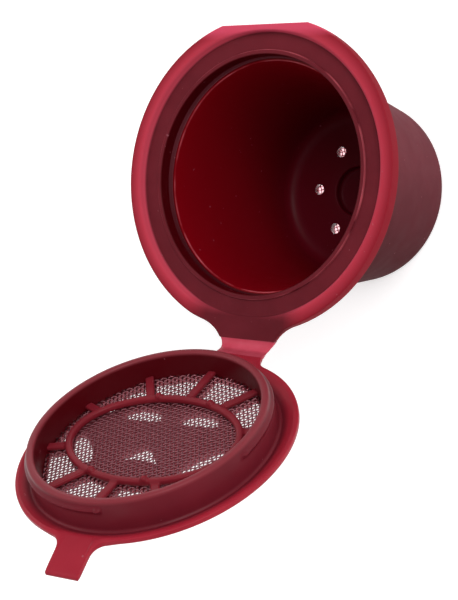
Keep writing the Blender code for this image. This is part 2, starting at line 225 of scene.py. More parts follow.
# steel with a painted red reflection of the plastic
WIRE_DARK = (0.24, 0.080, 0.102)
WIRE_LIGHT = (0.37, 0.145, 0.165)
FLOOR_DARK = (0.86, 0.86, 0.86)
FLOOR_LIGHT = (0.88, 0.88, 0.88)

# lid pieces are made closed, about the centre of the disc's edge on its plug side, and then opened
LID_PLACE = (
    Matrix.Translation(HINGE_AT)
    @ Matrix.Rotation(-math.radians(OPEN_DEG), 4, "X")
    @ Matrix.Translation((0.0, -HINGE_AT.y, LID_FACE_OVER_HINGE * MM))
)


# ---------------------------------------------------------------- mesh helpers
def rounded(corners, steps=5):
    """A profile of (r, z, fillet) corners with each corner rounded to its fillet."""
    points = []
    count = len(corners)
    for i, (r, z, fillet) in enumerate(corners):
        here = Vector((r, z))
        if fillet <= 0 or i in (0, count - 1):
            points.append(here)
            continue
        before = Vector(corners[i - 1][:2]) - here
        after = Vector(corners[i + 1][:2]) - here
        half = before.angle(after) / 2
        reach = min(fillet / math.tan(half), before.length * 0.48, after.length * 0.48)
        start, end = here + before.normalized() * reach, here + after.normalized() * reach
        for k in range(steps + 1):
            t = k / steps
            points.append(start * (1 - t) ** 2 + here * 2 * t * (1 - t) + end * t**2)
    return points


def spread(profile, longest):
    """Adds points so that no stretch of a profile is longer than longest."""
    points = [profile[0]]
    for a, b in zip(profile, profile[1:]):
        n = max(1, math.ceil((b - a).length / longest))
        points += [a.lerp(b, k / n) for k in range(1, n + 1)]
    return points


def finish_mesh(name, vertices, faces, material, place=Matrix.Identity(4)):
    mesh = bpy.data.meshes.new(name)
    mesh.from_pydata([tuple(v) for v in vertices], [], faces)
    mesh.transform(place @ Matrix.Scale(MM, 4))
    mesh.update()
    mesh.shade_smooth()
    obj = bpy.data.objects.new(name, mesh)
    bpy.context.scene.collection.objects.link(obj)
    obj.data.materials.append(material)
    return obj


def face_outward(mesh):
    fixed = bmesh.new()
    fixed.from_mesh(mesh)
    bmesh.ops.recalc_face_normals(fixed, faces=fixed.faces)
    fixed.to_mesh(mesh)
    fixed.free()


def apply_modifiers(obj):
    bpy.context.view_layer.update()
    mesh = bpy.data.meshes.new_from_object(obj.evaluated_get(bpy.context.evaluated_depsgraph_get()))
    obj.modifiers.clear()
    obj.data = mesh


def polar_shell(name, profile, angles, warp, material, closed=False, place=Matrix.Identity(4)):
    """A profile turned about Z, each point moved by warp(r, z, angle); angle 0 points to +Y.

    A closed profile makes a ring; an open one starts and ends on the axis.
    """
    vertices, faces = [], []
    inner = profile if closed else profile[1:-1]
    rings, count = len(inner), len(angles)
    for angle in angles:
        for point in inner:
            r, z = warp(point.x, point.y, angle)
            vertices.append((r * math.sin(angle), r * math.cos(angle), z))
    for i in range(count):
        j = (i + 1) % count
        for k in range(rings if closed else rings - 1):
            m = (k + 1) % rings
            faces.append((i * rings + k, j * rings + k, j * rings + m, i * rings + m))
    if not closed:
        first, last = len(vertices), len(vertices) + 1
        vertices += [(0, 0, profile[0].y), (0, 0, profile[-1].y)]
        for i in range(count):
            j = (i + 1) % count
            faces.append((first, j * rings, i * rings))
            faces.append((last, i * rings + rings - 1, j * rings + rings - 1))
    obj = finish_mesh(name, vertices, faces, material, place)
    face_outward(obj.data)
    return obj


def smoothstep(low, high, value):
    t = min(1.0, max(0.0, (value - low) / (high - low)))
    return t * t * (3 - 2 * t)


def neck_radius(angle, disc_r, half, fillet, end):
    """Outline of a disc with a necked strap at angle 0, as a radius for each angle."""
    angle = abs((angle + math.pi) % (2 * math.pi) - math.pi)
    centre_x = half + fillet
    distance = disc_r + fillet
    centre_y = math.sqrt(distance**2 - centre_x**2)
    tangent = math.atan2(centre_x, centre_y)
    if angle >= tangent:
        return disc_r
    limit = end / math.cos(angle)
    off = distance * math.sin(tangent - angle)
    if off < fillet:
        along = distance * math.cos(tangent - angle) - math.sqrt(fillet**2 - off**2)
        if along * math.cos(angle) > centre_y:
            along = half / max(math.sin(angle), 1e-6)
    else:
        along = half / max(math.sin(angle), 1e-6)
    return min(limit, along)


def turn_angles(fine_at):
    """Angles in radians round a circle, closer together near each of fine_at, which are in degrees."""
    degrees, here = [], 0.0
    while here < 360 - FINE_DEG / 2:
        degrees.append(here)
        near = any(abs((here - at + 180) % 360 - 180) < FINE_HALF_DEG for at in fine_at)
        here += FINE_DEG if near else COARSE_DEG
    return [math.radians(d) for d in degrees]


# ---------------------------------------------------------------- materials
def node_material(name):
    material = bpy.data.materials.new(name)
    material.use_nodes = True
    nodes, links = material.node_tree.nodes, material.node_tree.links
    coord = nodes.new("ShaderNodeTexCoord").outputs["Object"]
    return material, nodes, links, coord, nodes["Principled BSDF"]


def noise(nodes, links, vector, scale, detail=3.0, rough=0.5):
    node = nodes.new("ShaderNodeTexNoise")
    node.inputs["Scale"].default_value = scale
    node.inputs["Detail"].default_value = detail
    node.inputs["Roughness"].default_value = rough
    links.new(vector, node.inputs["Vector"])
    return node.outputs["Fac"]


def maths(nodes, links, operation, a, b=None, clamp=False):
    node = nodes.new("ShaderNodeMath")
    node.operation = operation
    node.use_clamp = clamp
    for socket, value in zip(node.inputs, (a, b)):
        if value is None:
            continue
        if isinstance(value, (int, float)):
            socket.default_value = value
        else:
            links.new(value, socket)
    return node.outputs[0]


def map_range(nodes, links, value, low, high, to_low=0.0, to_high=1.0):
    node = nodes.new("ShaderNodeMapRange")
    for name, number in (("From Min", low), ("From Max", high), ("To Min", to_low), ("To Max", to_high)):
        node.inputs[name].default_value = number
    links.new(value, node.inputs["Value"])
    return node.outputs["Result"]


def band(nodes, links, value, middle, half):
    """1 where a value is within a quarter of the band's width of its middle, fading to 0 at its edges."""
    away = maths(nodes, links, "ABSOLUTE", maths(nodes, links, "SUBTRACT", value, middle))
    return map_range(nodes, links, away, half, half * 0.5)


def from_axis(nodes, links, x, y):
    """Distance from the Z axis."""
    squares = [maths(nodes, links, "POWER", value, 2.0) for value in (x, y)]
    return maths(nodes, links, "SQRT", maths(nodes, links, "ADD", *squares))


def clouds(nodes, links, coord, scale, rough=0.55):
    """Soft patches between 0 and 1."""
    return map_range(nodes, links, noise(nodes, links, coord, scale, 4.0, rough), 0.3, 0.7)


def ramp(nodes, links, fac, stops):
    node = nodes.new("ShaderNodeValToRGB")
    elements = node.color_ramp.elements
    while len(elements) < len(stops):
        elements.new(0.5)
    for element, (position, colour) in zip(elements, stops):
        element.position = position
        element.color = (*colour, 1.0)
    links.new(fac, node.inputs["Fac"])
    return node.outputs["Color"]


def mix(nodes, links, fac, a, b):
    node = nodes.new("ShaderNodeMix")
    node.data_type = "RGBA"
    for socket, value in ((node.inputs[0], fac), (node.inputs[6], a), (node.inputs[7], b)):
        if isinstance(value, (int, float)):
            socket.default_value = value
        elif isinstance(value, tuple):
            socket.default_value = (*value, 1.0)
        else:
            links.new(value, socket)
    return node.outputs[2]


def satin(nodes, links, shader, coord, roughness):
    """Fine moulded texture: a pebbled bump, faint flow marks and uneven roughness."""
    fine = noise(nodes, links, coord, 5200.0, 2.0)
    broad = noise(nodes, links, coord, 420.0, 3.0)
    mixed = maths(nodes, links, "ADD", maths(nodes, links, "MULTIPLY", fine, 0.35), broad)
    node = nodes.new("ShaderNodeBump")
    node.inputs["Strength"].default_value = 0.04
    node.inputs["Distance"].default_value = 0.0002
    links.new(mixed, node.inputs["Height"])
    links.new(node.outputs["Normal"], shader.inputs["Normal"])
    uneven = map_range(nodes, links, broad, 0.3, 0.7, roughness - 0.05, roughness + 0.06)
    links.new(uneven, shader.inputs["Roughness"])
    return uneven


def flecks(nodes, links, coord, colour, amount):
    """Tiny pale dust and scuff specks on the plastic."""
    spots = noise(nodes, links, coord, 1700.0, 1.0, 0.4)
    few = map_range(nodes, links, spots, 0.775, 0.80, 0.0, amount)
    return mix(nodes, links, few, colour, FLECK)


def shine(shader, specular):
    shader.inputs["IOR"].default_value = 1.49
    shader.inputs["Specular IOR Level"].default_value = specular


def translucence(shader):
    shader.inputs["Subsurface Weight"].default_value = 0.12
    shader.inputs["Subsurface Radius"].default_value = (1.0, 0.12, 0.14)
    shader.inputs["Subsurface Scale"].default_value = 0.0006


def cup_rim(nodes, links, x, y, radius):
    """Where the flange's raised rim is, and its colour, a painted glow of light through the thin flange: a
    painted highlight at its inner edge shades off outward, and the front flat is brighter; it fades out at
    the hinge.
    """
    share = map_range(nodes, links, radius, (SEAT_R + 0.02) * MM, (SEAT_R + 0.14) * MM)
    behind = map_range(nodes, links, y, 0.0136, 0.0168)
    aside = map_range(nodes, links, maths(nodes, links, "ABSOLUTE", x), 0.0085, 0.0055)
    at_hinge = maths(nodes, links, "MULTIPLY", behind, aside)
    share = maths(nodes, links, "SUBTRACT", share, at_hinge, clamp=True)
    across = map_range(nodes, links, radius, SEAT_R * MM, FLANGE_R * MM)
    # painted glow of the thin flange, with a painted highlight at its inner edge shading off outward
    colour = ramp(nodes, links, across, [(0.0, RIM_GLOW_INNER), (0.35, RIM_GLOW_MIDDLE), (1.0, RIM_GLOW_OUTER)])
    at_flat = map_range(nodes, links, y, -0.0158, -0.0168)
    return share, mix(nodes, links, at_flat, colour, RIM_GLOW_FLAT)


def cup_wall(nodes, links, y, z, radius, mottled):
    """Where the wall's outside is, and the wall's colour: deep red inside, with painted shade towards the
    floor and on the bore; outside, mottled wine with a grey painted reflection, and painted shade towards
    +Y.
    """
    height = map_range(nodes, links, z, 0.0, (TOP - 3.0) * MM)
    middle = map_range(nodes, links, z, 0.0, TOP * MM, BODY_FOOT_R * MM - 0.0007, BODY_TOP_R * MM - 0.0005)
    outside = maths(nodes, links, "GREATER_THAN", radius, middle)
    # painted shade: darker towards the cup's floor
    inner = ramp(nodes, links, height, [(0.0, INSIDE_LOW), (0.25, INSIDE_MIDDLE), (1.0, INSIDE_HIGH)])
    # painted shade on the bore's wall between the lip and the ledge
    bore_shade = map_range(nodes, links, radius, (BORE_R - 0.25) * MM, (BORE_R - 0.10) * MM)
    inner = mix(nodes, links, bore_shade, inner, BORE_PAINTED_SHADE)
    # mottled wine with a grey painted reflection in it
    outer = mix(nodes, links, mottled, OUTSIDE_WINE_SHEEN_DARK, OUTSIDE_WINE_SHEEN_LIGHT)
    # painted shade: the outside darkens towards +Y
    shaded_side = map_range(nodes, links, y, -0.004, 0.011)
    outer = mix(nodes, links, shaded_side, outer, OUTSIDE_PAINTED_SHADE)
    return outside, mix(nodes, links, outside, inner, outer)


def cup_edge_highlights(nodes, links, coord, z, radius, over):
    """Painted highlight lines on the lip's edge and on the ledge under the bore, broken into patches."""
    lip = band(nodes, links, radius, LIP_R * MM, 0.00007)
    lip = maths(nodes, links, "MULTIPLY", lip, over)
    ledge = band(nodes, links, radius, (WALL_TOP_R + 0.04) * MM, 0.00008)
    at_ledge = band(nodes, links, z, (TOP - BORE_DROP) * MM, 0.00025)
    ledge = maths(nodes, links, "MULTIPLY", ledge, at_ledge)
    lines = maths(nodes, links, "MAXIMUM", lip, ledge)
    # breaks the painted highlight into patches
    glint_patches = map_range(nodes, links, noise(nodes, links, coord, 260.0, 3.0), 0.38, 0.68, 0.0, 0.65)
    return maths(nodes, links, "MULTIPLY", lines, glint_patches)


def cup_plastic():
    """Wine-red plastic, its colour set by place on the cup; the seat is dull, the rim and the flange's
    underside carry a painted glow, and the lip and the ledge carry painted highlight lines.
    """
    material, nodes, links, coord, shader = node_material("cup_red_plastic")
    split = nodes.new("ShaderNodeSeparateXYZ")
    links.new(coord, split.inputs[0])
    x, y, z = split.outputs
    radius = from_axis(nodes, links, x, y)
    mottled = clouds(nodes, links, coord, 160.0, 0.6)
    # the rim's colour is a painted glow
    rim, rim_glow = cup_rim(nodes, links, x, y, radius)
    seat = mix(nodes, links, mottled, SEAT_DARK, SEAT_LIGHT)
    flange_top = mix(nodes, links, rim, seat, rim_glow)
    outside, wall = cup_wall(nodes, links, y, z, radius, mottled)
    # the flange's underside beyond the body takes the rim's painted glow
    flange_under_glow = map_range(nodes, links, radius, (BODY_TOP_R + 0.2) * MM, (BODY_TOP_R + 1.2) * MM)
    body = mix(nodes, links, flange_under_glow, wall, rim_glow)
    over = map_range(nodes, links, z, (TOP - 1.3) * MM, (TOP - 1.0) * MM)
    inside_mouth = map_range(nodes, links, radius, (LIP_R - 0.35) * MM, (LIP_R - 0.50) * MM)
    over = maths(nodes, links, "SUBTRACT", over, inside_mouth, clamp=True)
    colour = mix(nodes, links, over, body, flange_top)
    # painted highlight lines on the lip and the ledge
    lines = cup_edge_highlights(nodes, links, coord, z, radius, over)
    colour = mix(nodes, links, lines, colour, PAINTED_EDGE_HIGHLIGHT)
    colour = flecks(nodes, links, coord, colour, 0.35)
    links.new(colour, shader.inputs["Base Color"])
    uneven = satin(nodes, links, shader, coord, 0.42)
    dull = maths(nodes, links, "MULTIPLY", outside, 0.35)
    links.new(maths(nodes, links, "ADD", uneven, dull), shader.inputs["Roughness"])
    shine(shader, 0.08)
    translucence(shader)
    return material


def lid_plastic(name, low, high):
    """Plastic between two reds, with cloudy flow marks."""
    material, nodes, links, coord, shader = node_material(name)
    colour = mix(nodes, links, clouds(nodes, links, coord, 130.0), low, high)
    colour = flecks(nodes, links, coord, colour, 0.4)
    links.new(colour, shader.inputs["Base Color"])
    satin(nodes, links, shader, coord, 0.40)
    shine(shader, 0.12)
    translucence(shader)
    return material


def along_row(nodes, links, coord, row):
    """The coordinate that a matrix row gives for a point."""
    along = nodes.new("ShaderNodeVectorMath")
    along.operation = "DOT_PRODUCT"
    links.new(coord, along.inputs[0])
    along.inputs[1].default_value = row[:3]
    return maths(nodes, links, "ADD", along.outputs["Value"], row[3])


def disc_share(nodes, links, radius, level):
    """Where the lid is disc and not plug: outside the root, or over a level or a slope near it."""
    slope = 0.58
    sloped = maths(nodes, links, "ADD", level, maths(nodes, links, "MULTIPLY", radius, slope))
    share = map_range(nodes, links, radius, (ROOT_R + 0.4) * MM, (ROOT_R + 1.1) * MM)
    for value, at in ((level, DISH + 0.35), (sloped, DISH + 0.3 + slope * (ROOT_R + 0.2))):
        outward = map_range(nodes, links, value, (at - 0.1) * MM, (at + 0.1) * MM)
        share = maths(nodes, links, "MAXIMUM", share, outward)
    return share


def lid_disc_plastic():
    """The lid's own disc and plug: the disc has a painted glow of light through its thin plastic; the plug
    ring is a duller wine, with painted shade on its inside and a painted highlight on its crest.
    """
    material, nodes, links, coord, shader = node_material("lid_red_plastic")
    place = LID_PLACE.inverted()
    x, y, level = [along_row(nodes, links, coord, place[i]) for i in range(3)]
    radius = from_axis(nodes, links, x, y)
    # painted shade on the plug ring's inside
    inside = map_range(nodes, links, radius, (PLUG_IN_R + 0.35) * MM, (PLUG_IN_R + 0.15) * MM)
    # painted highlight on the plug's crest
    crest = map_range(nodes, links, level, (-PLUG_H + 0.5) * MM, (-PLUG_H + 0.15) * MM)
    cloudy = clouds(nodes, links, coord, 130.0)
    plug = mix(nodes, links, cloudy, PLUG_DARK, PLUG_LIGHT)
    plug = mix(nodes, links, inside, plug, PLUG_INSIDE_SHADE)
    plug = mix(nodes, links, crest, plug, PLUG_CREST_HIGHLIGHT)
    # painted glow of light through the thin disc
    disc = mix(nodes, links, cloudy, DISC_GLOW_DARK, DISC_GLOW_LIGHT)
    colour = mix(nodes, links, disc_share(nodes, links, radius, level), plug, disc)
    colour = flecks(nodes, links, coord, colour, 0.4)
    links.new(colour, shader.inputs["Base Color"])
    satin(nodes, links, shader, coord, 0.38)
    shine(shader, 0.12)
    translucence(shader)
    return material


def hinge_plastic():
    """The strap: dull at the cup's leaf, a painted highlight and glow across the thin film, then the lid's
    red.
    """
    material, nodes, links, coord, shader = node_material("hinge_red_plastic")
    split = nodes.new("ShaderNodeSeparateXYZ")
    links.new(coord, split.inputs[0])
    cup_end = [(0.0, HINGE_CUP), (0.10, HINGE_CUP)]
    # painted highlight and glow across the thin film
    film = [(0.22, HINGE_FILM_HIGHLIGHT), (0.66, HINGE_FILM_HIGHLIGHT)]
    lid_end = [(0.80, HINGE_LID), (1.0, HINGE_LID)]
    along = map_range(nodes, links, split.outputs[1], 0.0190, 0.0212)
    colour = ramp(nodes, links, along, cup_end + film + lid_end)
    cloudy = clouds(nodes, links, coord, 240.0)
    colour = mix(nodes, links, cloudy, colour, mix(nodes, links, 0.25, colour, HINGE_CLOUD))
    colour = flecks(nodes, links, coord, colour, 0.5)
    links.new(colour, shader.inputs["Base Color"])
    satin(nodes, links, shader, coord, 0.38)
    shine(shader, 0.12)
    return material


def wire_steel():
    """Drawn steel wire, with a painted red reflection of the plastic in its colour."""
    material, nodes, links, coord, shader = node_material("filter_wire")
    drawn = noise(nodes, links, coord, 2600.0, 2.0)
    # steel with a painted red reflection of the plastic
    links.new(mix(nodes, links, drawn, WIRE_DARK, WIRE_LIGHT), shader.inputs["Base Color"])
    links.new(map_range(nodes, links, drawn, 0.3, 0.7, 0.26, 0.42), shader.inputs["Roughness"])
    shader.inputs["Metallic"].default_value = 1.0
    return material


def floor_paint():
    material, nodes, links, coord, shader = node_material("studio_floor")
    tone = mix(nodes, links, noise(nodes, links, coord, 9.0, 2.0), FLOOR_DARK, FLOOR_LIGHT)
    matt = mix(nodes, links, 0.82, (0.0, 0.0, 0.0), tone)
    links.new(matt, shader.inputs["Base Color"])
    shader.inputs["Roughness"].default_value = 0.9
    links.new(tone, shader.inputs["Emission Color"])
    shader.inputs["Emission Strength"].default_value = 0.62
    return material


CUP_RED = cup_plastic()
LID_RED = lid_disc_plastic()
GRID_RED = lid_plastic("grid_red_plastic", GRID_DARK, GRID_LIGHT)
RETAINER_RED = lid_plastic("retainer_red_plastic", RETAINER_DARK, RETAINER_LIGHT)
HINGE_RED = hinge_plastic()
WIRE = wire_steel()


# ---------------------------------------------------------------- cup
def rim_outer(angle):
    """Radius of the flange's edge: round, with the hinge's leaf at the back and a flat at the front."""
    edge = neck_radius(angle - NECK_SHIFT / CUP_LEAF_END, FLANGE_R, NECK_HALF, NECK_FILLET, CUP_LEAF_END)
    front = -math.cos(angle)
    return min(edge, FLAT_AT / front) if front > 0.5 else edge


def cup_warp(r, z, angle):
    """Draws the flange out to its outline, and lowers its rim to the seat's level at the hinge."""
    if r > SEAT_R:
        outer = rim_outer(angle)
        away = abs((angle + math.pi) % (2 * math.pi) - math.pi)
        fade = smoothstep(math.radians(12.0), math.radians(25.0), away)
        seat = TOP - SEAT_DROP
        if z > seat:
            z = seat + (z - seat) * fade
        if z > TOP - FLANGE_T - 0.2:
            r = SEAT_R + (r - SEAT_R) * (outer - SEAT_R) / (FLANGE_R - SEAT_R)
    return r, z


def drill_drains(cup, middle_z):
    """Cuts the ring of drain holes through the cup's floor."""
    holes = bmesh.new()
    radius, circle = DRAIN_R * MM, DRAIN_CIRCLE * MM
    for i in range(DRAINS):
        turn = math.radians(360 / DRAINS * i)
        at = Matrix.Translation((circle * math.cos(turn), circle * math.sin(turn), middle_z * MM))
        size = {"radius1": radius, "radius2": radius, "depth": DRAIN_CUT * MM}
        bmesh.ops.create_cone(holes, cap_ends=True, segments=24, matrix=at, **size)
    mesh = bpy.data.meshes.new("drain_holes")
    holes.to_mesh(mesh)
    holes.free()
    cutter = bpy.data.objects.new("drain_holes", mesh)
    bpy.context.scene.collection.objects.link(cutter)
    cut = cup.modifiers.new("Drains", "BOOLEAN")
    cut.object = cutter
    cut.operation = "DIFFERENCE"
    apply_modifiers(cup)
    bpy.data.objects.remove(cutter)


def make_cup():
    """The profile runs from the well up the inside, over the flange and down to the foot and the boss."""
    floor, under = TOP - FLOOR_DROP, TOP - FLOOR_DROP - FLOOR_T
    ledge, lip, seat, flange_low = TOP - BORE_DROP, TOP - LIP_DROP, TOP - SEAT_DROP, TOP - FLANGE_T
    corners = [(0, WELL_FLOOR, 0), (WELL_R, WELL_FLOOR, 0.5), (WELL_R + 0.05, floor, 0.25)]
    corners += [(FLOOR_CORNER_R, floor, 1.9), (WALL_TOP_R, ledge, 0.12), (BORE_R, ledge, 0.06)]
    corners += [(BORE_R, lip, 0.16), (LIP_R, lip, 0.12), (LIP_R + 0.05, seat, 0.08)]
    corners += [(SEAT_R, seat, 0.15), (SEAT_R + 0.4, TOP, 0.55), (FLANGE_R, TOP, 0.2)]
    corners += [(FLANGE_R, flange_low, 0.2), (BODY_TOP_R + 0.05, flange_low, 0.35)]
    corners += [(BODY_FOOT_R, 0, 3.1), (FOOT_IN_R + 0.1, 0, 0.2), (FOOT_IN_R, under, 0.3)]
    corners += [(BOSS_R + 0.1, under, 0.3), (BOSS_R, 0, 0.25), (0, 0, 0)]
    profile = spread(rounded(corners, 5), 1.6)
    cup = polar_shell("cup_moulding", profile, turn_angles((0, 180)), cup_warp, CUP_RED)
    drill_drains(cup, floor - FLOOR_T / 2)
    cup.data.set_sharp_from_angle(angle=math.radians(50))
    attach(cup, "cup")
    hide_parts("cup_body")


# ---------------------------------------------------------------- hinge
def hinge_path(along, outward):
    """Points of (y, z) from the cup's leaf round the bend to the lid's leaf."""
    hinge = Vector((HINGE_AT.y / MM, HINGE_AT.z / MM))
    seat = TOP - SEAT_DROP - 0.01
    lid_face = hinge + outward * (LID_FACE_OVER_HINGE + 0.01)
    corner = lid_face + along * ((seat - lid_face.y) / along.y)
    start = Vector((CUP_LEAF_END - STRAP_OVERLAP, seat))
    end = lid_face + along * (hinge.x - LID_LEAF_END + STRAP_OVERLAP)
    first, last = corner - Vector((BEND_REACH, 0)), corner + along * BEND_REACH
    path = [start]
    for k in range(17):
        t = k / 16
        path.append(first * (1 - t) ** 2 + corner * 2 * t * (1 - t) + last * t**2)
    return spread(path + [end], 0.12)


def flared(half, fillet, back):
    """Half width of a strap with filleted sides, at a distance back from where its fillets end."""
    if back <= 0:
        return half
    return half + fillet - math.sqrt(fillet**2 - min(back, fillet) ** 2)


def strap_half_width(y, length, total):
    """Half width that continues both leaves' outlines, to a waist between them."""
    fillet_end = math.sqrt((FLANGE_R + NECK_FILLET) ** 2 - (NECK_HALF + NECK_FILLET) ** 2)
    cup_side = flared(NECK_HALF, NECK_FILLET, fillet_end - y)
    fillet_end = math.sqrt((LID_R + LEAF_FILLET) ** 2 - (LEAF_HALF + LEAF_FILLET) ** 2)
    lid_side = flared(LEAF_HALF, LEAF_FILLET, fillet_end - (LID_LEAF_END - STRAP_OVERLAP + total - length))
    share = smoothstep(0.25, 0.8, length / total)
    return cup_side * (1 - share) + lid_side * share - 0.012


def strap_vertices(path, columns):
    """Two rows of points across the strap at each point of its path: its one side, then its other."""
    lengths = [0.0]
    for a, b in zip(path, path[1:]):
        lengths.append(lengths[-1] + (b - a).length)
    vertices = []
    for i, (point, length) in enumerate(zip(path, lengths)):
        share = length / lengths[-1]
        ahead = path[min(i + 1, len(path) - 1)] - path[max(i - 1, 0)]
        normal = Vector((ahead.y, -ahead.x)).normalized()
        thin = smoothstep(FILM_AT, 0.10, abs(share - FILM_AT))
        thick = (FLANGE_T - SEAT_DROP) * (1 - share) + LID_LEAF_T * share
        thick = thick * (1 - thin) + FILM_T * thin
        sink = FILM_SINK * thin
        wide = strap_half_width(point.x, length, lengths[-1])
        for side in (0, 1):
            for k in range(columns):
                u = -1 + 2 * k / (columns - 1)
                edge = max(0.0, abs(u) - 0.9) / 0.1
                inset = 0.1 * (1 - math.sqrt(max(0.0, 1 - edge**2)))
                at = point + normal * (sink + inset if side == 0 else thick - inset)
                vertices.append((u * wide + NECK_SHIFT, at.x, at.y))
    return vertices


def strap_faces(steps, columns):
    """Both sides, both edges and both ends of a strap of points from strap_vertices."""
    faces = []
    row = 2 * columns
    for i in range(steps - 1):
        a, b = i * row, (i + 1) * row
        for k in range(columns - 1):
            faces.append((a + k, a + k + 1, b + k + 1, b + k))
            c, d = a + columns, b + columns
            faces.append((c + k + 1, c + k, d + k, d + k + 1))
        faces.append((a + columns, a, b, b + columns))
        faces.append((a + columns - 1, a + row - 1, b + row - 1, b + columns - 1))
    for a, flip in ((0, False), ((steps - 1) * row, True)):
        loop = [a + k for k in range(columns)] + [a + row - 1 - k for k in range(columns)]
        faces.append(tuple(loop if flip else reversed(loop)))
    return faces


def make_hinge():
    """The living hinge as one strip from leaf to leaf, thinned half way, bending between the two bodies."""
    rise = math.radians(180 - OPEN_DEG)
    along = Vector((math.cos(rise), math.sin(rise)))
    outward = Vector((math.sin(rise), -math.cos(rise)))
    path = hinge_path(along, outward)
    columns = 25
    vertices, faces = strap_vertices(path, columns), strap_faces(len(path), columns)
    strap = finish_mesh("hinge_strap", vertices, faces, HINGE_RED)
    face_outward(strap.data)
    strap.data.set_sharp_from_angle(angle=math.radians(60))
    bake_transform(strap)
    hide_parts("hinge_web")


# ---------------------------------------------------------------- lid
def lid_outer(angle):
    """Radius of the lid's edge: round, with its hinge leaf at +Y and the pull tab at -Y."""
    leaf = neck_radius(angle - NECK_SHIFT / LID_LEAF_END, LID_R, LEAF_HALF, LEAF_FILLET, LID_LEAF_END)
    tab = neck_radius(angle + math.pi - math.radians(TAB_TURN), LID_R, TAB_HALF, TAB_FILLET, TAB_END)
    return max(leaf, tab) - DISC_SHIFT * math.sin(angle)


def lid_warp(r, z, angle):
    """Draws the disc out to its outline, lifts the tab, and puts the snap bead and lugs on the plug."""
    if r > STRETCH_R and z > -0.2:
        r = STRETCH_R + (r - STRETCH_R) * (lid_outer(angle) - STRETCH_R) / (LID_R - STRETCH_R)
        tab_angle = angle - math.radians(TAB_TURN)
        ahead = max(0.0, -r * math.cos(tab_angle) - TAB_LIFT_FROM)
        aside = abs(math.sin(tab_angle)) * r
        z += ahead * TAB_LIFT * smoothstep(5.5, 2.6, aside)
    if z < -0.3 and r > PLUG_R - 0.25:
        degrees = math.degrees(angle) % 360
        first, last = BEAD_ENDS
        run = max(smoothstep(first, first - 2, degrees), smoothstep(last, last + 2, degrees))
        lug = sum(smoothstep(a, b, degrees) * smoothstep(d, c, degrees) for a, b, c, d in LUGS)
        height = math.exp(-(((z + PLUG_H - BEAD_FROM_CREST) / BEAD_SPREAD) ** 2))
        r += height * (BEAD * run + LUG * lug)
    return r, z


def make_lid_shell():
    """The profile runs up the plug's inside, out over the disc, back under its edge and down the plug."""
    top = DISH + LID_T - 0.1
    corners = [(PLUG_IN_R, 0, 0), (PLUG_IN_R, top, 0.2), (CROWN_R, top, 0.6), (SLOPE_R, LID_T, 0.6)]
    corners += [(LID_R, LID_EDGE_T, 0.15), (LID_R, 0, 0.15), (FACE_IN_R, 0, 0.5)]
    corners += [(ROOT_R + 0.15, DISH, 0.6), (ROOT_R - 0.1, DISH - 0.25, 0.4)]
    corners += [(PLUG_R, BEAD_FROM_CREST - PLUG_H, 0.3), (PLUG_R - PLUG_TAPER, -PLUG_H, 0.4)]
    corners += [(PLUG_IN_R + 0.1, -PLUG_H, 0.5), (PLUG_IN_R, 0, 0)]
    profile = spread(rounded(corners, 6), 0.18)[:-1]
    angles = turn_angles((0, 180 + TAB_TURN))
    shell = polar_shell("lid_moulding", profile, angles, lid_warp, LID_RED, closed=True, place=LID_PLACE)
    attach(shell, "lid")
    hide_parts("lid_shell")


def oval_radius(angle, half_x, half_y):
    """Radius of an oval at an angle from +X."""
    return 1 / math.hypot(math.cos(angle) / half_x, math.sin(angle) / half_y)


def oval_points(half_x, half_y, count):
    turns = [2 * math.pi * i / count for i in range(count)]
    return [(half_x * math.cos(turn), half_y * math.sin(turn)) for turn in turns]


def window_outline(middle):
    """One window between the oval rib and the plug, between two spokes; middle in degrees from +X."""
    points = []
    steps = 8
    half = SPOKE_STEP / 2
    for k in range(steps + 1):
        angle = math.radians(middle - half + 2 * half * k / steps)
        points.append((angle, WINDOW_OUTER_R))
    for k in range(steps + 1):
        angle = math.radians(middle + half - 2 * half * k / steps)
        points.append((angle, oval_radius(angle, RIB_X + RIB_COVER, RIB_Y + RIB_COVER)))
    outline = []
    mid = math.radians(middle)
    for angle, radius in points:
        limit = math.radians(half) - math.asin(min(0.9, WINDOW_GAP / radius))
        angle = mid + max(-limit, min(limit, angle - mid))
        outline.append((radius * math.cos(angle), radius * math.sin(angle)))
    return outline


def turned_outline(outline, degrees):
    c, s = math.cos(math.radians(degrees)), math.sin(math.radians(degrees))
    return [(x * c - y * s, x * s + y * c) for x, y in outline]


def dome_outline(x, y, half, rise, drop, degrees, count=14):
    """A petal: an arc of a given rise over a flatter arc that sags by drop."""
    points = []
    for k in range(count + 1):
        t = -1 + 2 * k / count
        points.append((t * half, rise * math.sqrt(max(0, 1 - t * t))))
    for k in range(1, count):
        t = 1 - 2 * k / count
        points.append((t * half, -drop * math.sqrt(max(0, 1 - t * t))))
    turned = turned_outline(points, degrees)
    return [(x + u, y + v) for u, v in turned]


def petal_outlines():
    """The five openings of the grid's centre, in the closed lid seen from outside."""
    petals = [
        dome_outline(3.75, 3.95, 2.6, 1.75, 0.30, 0),
        dome_outline(-3.75, 3.95, 2.6, 1.75, 0.30, 0),
        dome_outline(7.8, -2.2, 3.0, 0.95, 1.0, 47),
        dome_outline(-7.8, -2.2, 3.0, 0.95, 1.0, -52),
    ]
    arrow_top = [(-2.6, -3.2), (-1.3, -1.7), (0.0, -0.6), (1.3, -1.7), (2.6, -3.2)]
    arrow_low = [(1.4, -3.0), (0.0, -2.8), (-1.4, -3.0)]
    return [[(x + PETAL_SHIFT, y) for x, y in outline] for outline in petals + [arrow_top + arrow_low]]


